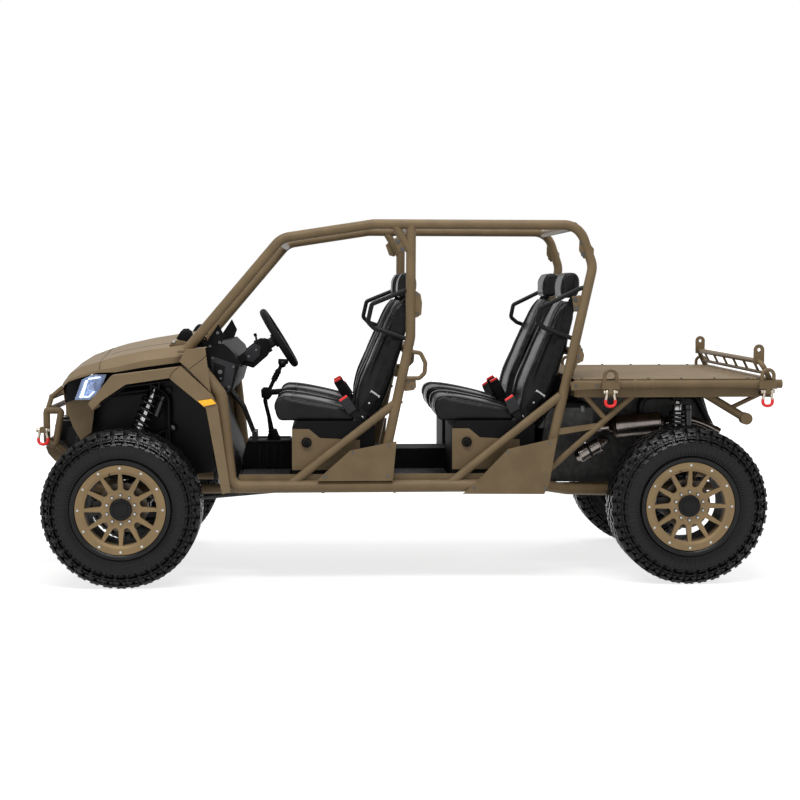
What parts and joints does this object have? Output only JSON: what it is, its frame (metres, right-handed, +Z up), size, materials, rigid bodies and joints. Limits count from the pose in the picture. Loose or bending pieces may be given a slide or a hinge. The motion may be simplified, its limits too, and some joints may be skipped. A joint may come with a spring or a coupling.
{
  "type": "four-seat open off-road buggy",
  "caption": "Open tube-cage off-road buggy with two rows of bucket seats, a flat rear cargo deck, long-travel suspension and beadlock wheels on mud tyres.",
  "frame": {"origin": "on the ground, under the middle of the vehicle's overall box", "axes": "+X forward, +Y to the vehicle's left, +Z up"},
  "size_m": [3.89, 1.524, 1.8864],
  "materials": {
    "tan_paint": "matte powder coat, coyote tan",
    "tan_panel": "moulded panels, coyote tan",
    "rim_paint": "matte bronze tan",
    "black_plastic": "textured black",
    "black_steel": "satin black",
    "seat_vinyl": "grained black vinyl",
    "webbing": "woven belt webbing",
    "tyre": "matte black tread rubber",
    "brake_steel": "worn disc steel",
    "bare_steel": "machined",
    "cast_metal": "dark casting",
    "exhaust_steel": "heat-tinted",
    "shackle_steel": "plated bow with a red lower half",
    "lamp_lens": "clear lens with light blue tint",
    "amber_lens": "amber",
    "red_lens": "red"
  },
  "bodies": {
    "chassis": {"cage_cross_bars": "tan_paint", "cage_side_left": "tan_paint", "cage_side_right": "tan_paint", "cargo_deck": "tan_paint", "centre_tunnel": "black_plastic", "dashboard": "black_plastic", "deck_frame": "tan_paint", "driver_controls": "black_steel", "drivetrain": "cast_metal", "engine_block": "cast_metal", "exhaust": "exhaust_steel", "fender_liners": "black_plastic", "floor_pan": "black_plastic", "frame": "tan_paint", "front_bumper": "tan_paint", "front_fenders": "tan_panel", "front_frame": "black_steel", "grille": "black_plastic", "headlamps": "lamp_lens", "headrests": "seat_vinyl", "hood": "tan_panel", "inner_panels": "black_plastic", "nose_cap": "tan_panel", "nose_panels": "tan_panel", "rack_housing": "cast_metal", "rear_carriers": "cast_metal", "rear_frame": "black_steel", "rear_rack": "tan_paint", "seat_backs": "seat_vinyl", "seat_belts": "webbing", "seat_boxes": "black_plastic", "seat_cushions": "seat_vinyl", "shackles": "shackle_steel", "shocks": "black_steel", "shoulder_guards": "black_steel", "sill_panels": "tan_paint", "skid_plate": "tan_paint", "steering_column": "black_plastic", "storage_panels": "tan_paint", "tail_lamps": "red_lens", "tie_down_loops": "tan_paint", "turn_lenses": "amber_lens", "winch": "black_steel", "wishbones": "black_steel"},
    "knuckle_left": {"knuckle_left": "cast_metal"},
    "knuckle_right": {"knuckle_right": "cast_metal"},
    "rack": {"steering_rack": "bare_steel"},
    "hand_wheel": {"steering_wheel": "black_plastic"},
    "wheel_front_left": {"tyre_front_left": "tyre", "rim_front_left": "rim_paint", "hub_disc_front_left": "brake_steel"},
    "wheel_front_right": {"tyre_front_right": "tyre", "rim_front_right": "rim_paint", "hub_disc_front_right": "brake_steel"},
    "wheel_rear_left": {"tyre_rear_left": "tyre", "rim_rear_left": "rim_paint", "hub_disc_rear_left": "brake_steel"},
    "wheel_rear_right": {"tyre_rear_right": "tyre", "rim_rear_right": "rim_paint", "hub_disc_rear_right": "brake_steel"}
  },
  "joints": [
    {"name": "steer_left", "type": "hinge", "parent": "chassis", "child": "knuckle_left", "pos_m": [1.46, 0.56, 0.4065], "axis": [0, 0, 1], "range_deg": [-25, 25]},
    {"name": "steer_right", "type": "hinge", "parent": "chassis", "child": "knuckle_right", "pos_m": [1.46, -0.56, 0.4065], "axis": [0, 0, 1], "range_deg": [-25, 25]},
    {"name": "rack_slide", "type": "slide", "parent": "chassis", "child": "rack", "axis": [0, 1, 0], "range_m": [-0.053, 0.053]},
    {"name": "steering_wheel_turn", "type": "hinge", "parent": "chassis", "child": "hand_wheel", "pos_m": [0.663, 0.33, 1.267], "axis": [-0.8536, 0, 0.521], "range_deg": [-301, 301]},
    {"name": "spin_front_left", "type": "hinge", "parent": "knuckle_left", "child": "wheel_front_left", "pos_m": [1.46, 0.635, 0.4065], "axis": [0, 1, 0], "continuous": true},
    {"name": "spin_front_right", "type": "hinge", "parent": "knuckle_right", "child": "wheel_front_right", "pos_m": [1.46, -0.635, 0.4065], "axis": [0, 1, 0], "continuous": true},
    {"name": "spin_rear_left", "type": "hinge", "parent": "chassis", "child": "wheel_rear_left", "pos_m": [-1.466, 0.635, 0.4065], "axis": [0, 1, 0], "continuous": true},
    {"name": "spin_rear_right", "type": "hinge", "parent": "chassis", "child": "wheel_rear_right", "pos_m": [-1.466, -0.635, 0.4065], "axis": [0, 1, 0], "continuous": true}
  ],
  "couplings": [
    {"joint": "steer_right", "follows": "steer_left", "ratio": 1},
    {"joint": "rack_slide", "follows": "steer_left", "m_per_rad": -0.12},
    {"joint": "steering_wheel_turn", "follows": "steer_left", "ratio": 12}
  ]
}
